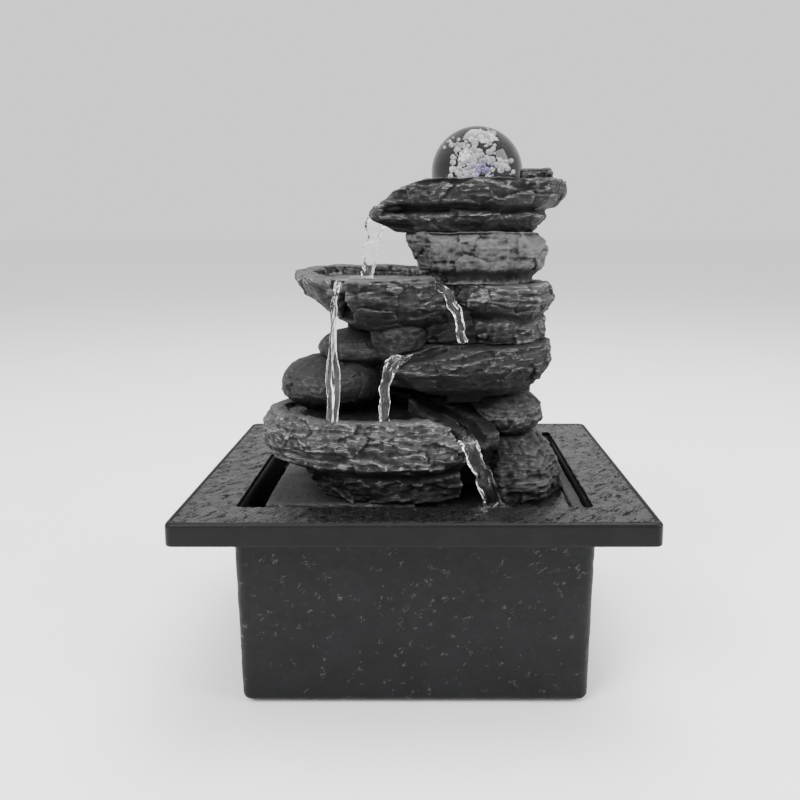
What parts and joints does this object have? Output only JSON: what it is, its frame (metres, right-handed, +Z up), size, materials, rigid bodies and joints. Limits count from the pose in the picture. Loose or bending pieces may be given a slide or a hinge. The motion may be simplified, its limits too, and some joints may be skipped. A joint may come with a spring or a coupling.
{
  "type": "tabletop water fountain",
  "caption": "Tabletop fountain: stacked cast stones with spill bowls and a glass ball on a jet, lifting out of a square-rimmed tub with a pump inside.",
  "frame": {"origin": "middle of the footprint, on the table under the rubber feet", "axes": "+Z up; +X to the right and +Y to the back, seen from the side the water falls on"},
  "size_m": [0.165, 0.13, 0.21],
  "materials": {
    "tub": "embossed slate grain",
    "deck": "embossed slate grain, satin",
    "cast_stone": "cast resin, charcoal, dry-brushed grey on the ridges",
    "crystal": "clear with a cluster of bubbles",
    "rubber_pads": "black",
    "screw_steel": "zinc plated",
    "light_plastic": "white",
    "circuit_board": "green solder mask",
    "led_resin": "clear white",
    "light_window": "frosted",
    "silicone_tube": "translucent",
    "pump_plastic": "black, fine spark grain",
    "core_steel": "laminated",
    "copper_wire": "enamelled winding",
    "bush_ceramic": "polished",
    "impeller_plastic": "white",
    "magnet_ferrite": "sintered",
    "sponge": "open-cell foam"
  },
  "bodies": {
    "base": {"basin_tub": "tub", "rim_frame": "deck", "rim_screws": "screw_steel", "rubber_feet": "rubber_pads", "cable_grommet": "rubber_pads", "pump_housing": "pump_plastic", "stator_core": "core_steel", "stator_coils": "copper_wire", "back_cap": "pump_plastic", "pump_gland": "rubber_pads", "volute": "pump_plastic", "seal_ring": "rubber_pads", "front_bush": "bush_ceramic", "back_bush": "bush_ceramic", "impeller_shaft": "bush_ceramic", "suction_cups": "rubber_pads"},
    "rockery": {"rock_tray": "cast_stone", "lower_ledge": "cast_stone", "lower_boulder": "cast_stone", "channel_stone": "cast_stone", "right_pebble": "cast_stone", "left_pebble": "cast_stone", "left_back_pebble": "cast_stone", "mid_ledge": "cast_stone", "left_bowl": "cast_stone", "upper_slab": "cast_stone", "crown_bowl": "cast_stone", "neck_stone": "cast_stone", "centre_stone": "cast_stone", "lower_back_stone": "cast_stone", "mid_back_stone": "cast_stone", "lower_core": "cast_stone", "upper_core": "cast_stone", "light_housing": "light_plastic", "light_board": "circuit_board", "leds": "led_resin", "light_lens": "light_window", "riser_tube": "silicone_tube", "jet_nozzle": "light_plastic"},
    "ball": {"crystal_ball": "crystal"},
    "rotor": {"impeller": "impeller_plastic", "rotor_magnet": "magnet_ferrite"},
    "intake": {"intake_cover": "pump_plastic", "filter_sponge": "sponge"},
    "dial": {"flow_dial": "impeller_plastic"}
  },
  "joints": [
    {"name": "rockery_lift", "type": "slide", "parent": "base", "child": "rockery", "axis": [0, 0, 1], "range_m": [0, 0.06]},
    {"name": "ball_spin", "type": "hinge", "parent": "rockery", "child": "ball", "pos_m": [0.024, 0, 0.192], "axis": [0, 1, 0], "continuous": true},
    {"name": "impeller_spin", "type": "hinge", "parent": "base", "child": "rotor", "pos_m": [0.024, 0, 0.0215], "axis": [1, 0, 0], "continuous": true},
    {"name": "intake_slide", "type": "slide", "parent": "base", "child": "intake", "axis": [1, 0, 0], "range_m": [0, 0.012]},
    {"name": "dial_turn", "type": "hinge", "parent": "intake", "child": "dial", "pos_m": [0.037, 0, 0.0215], "axis": [1, 0, 0], "range_deg": [0, 180]}
  ]
}
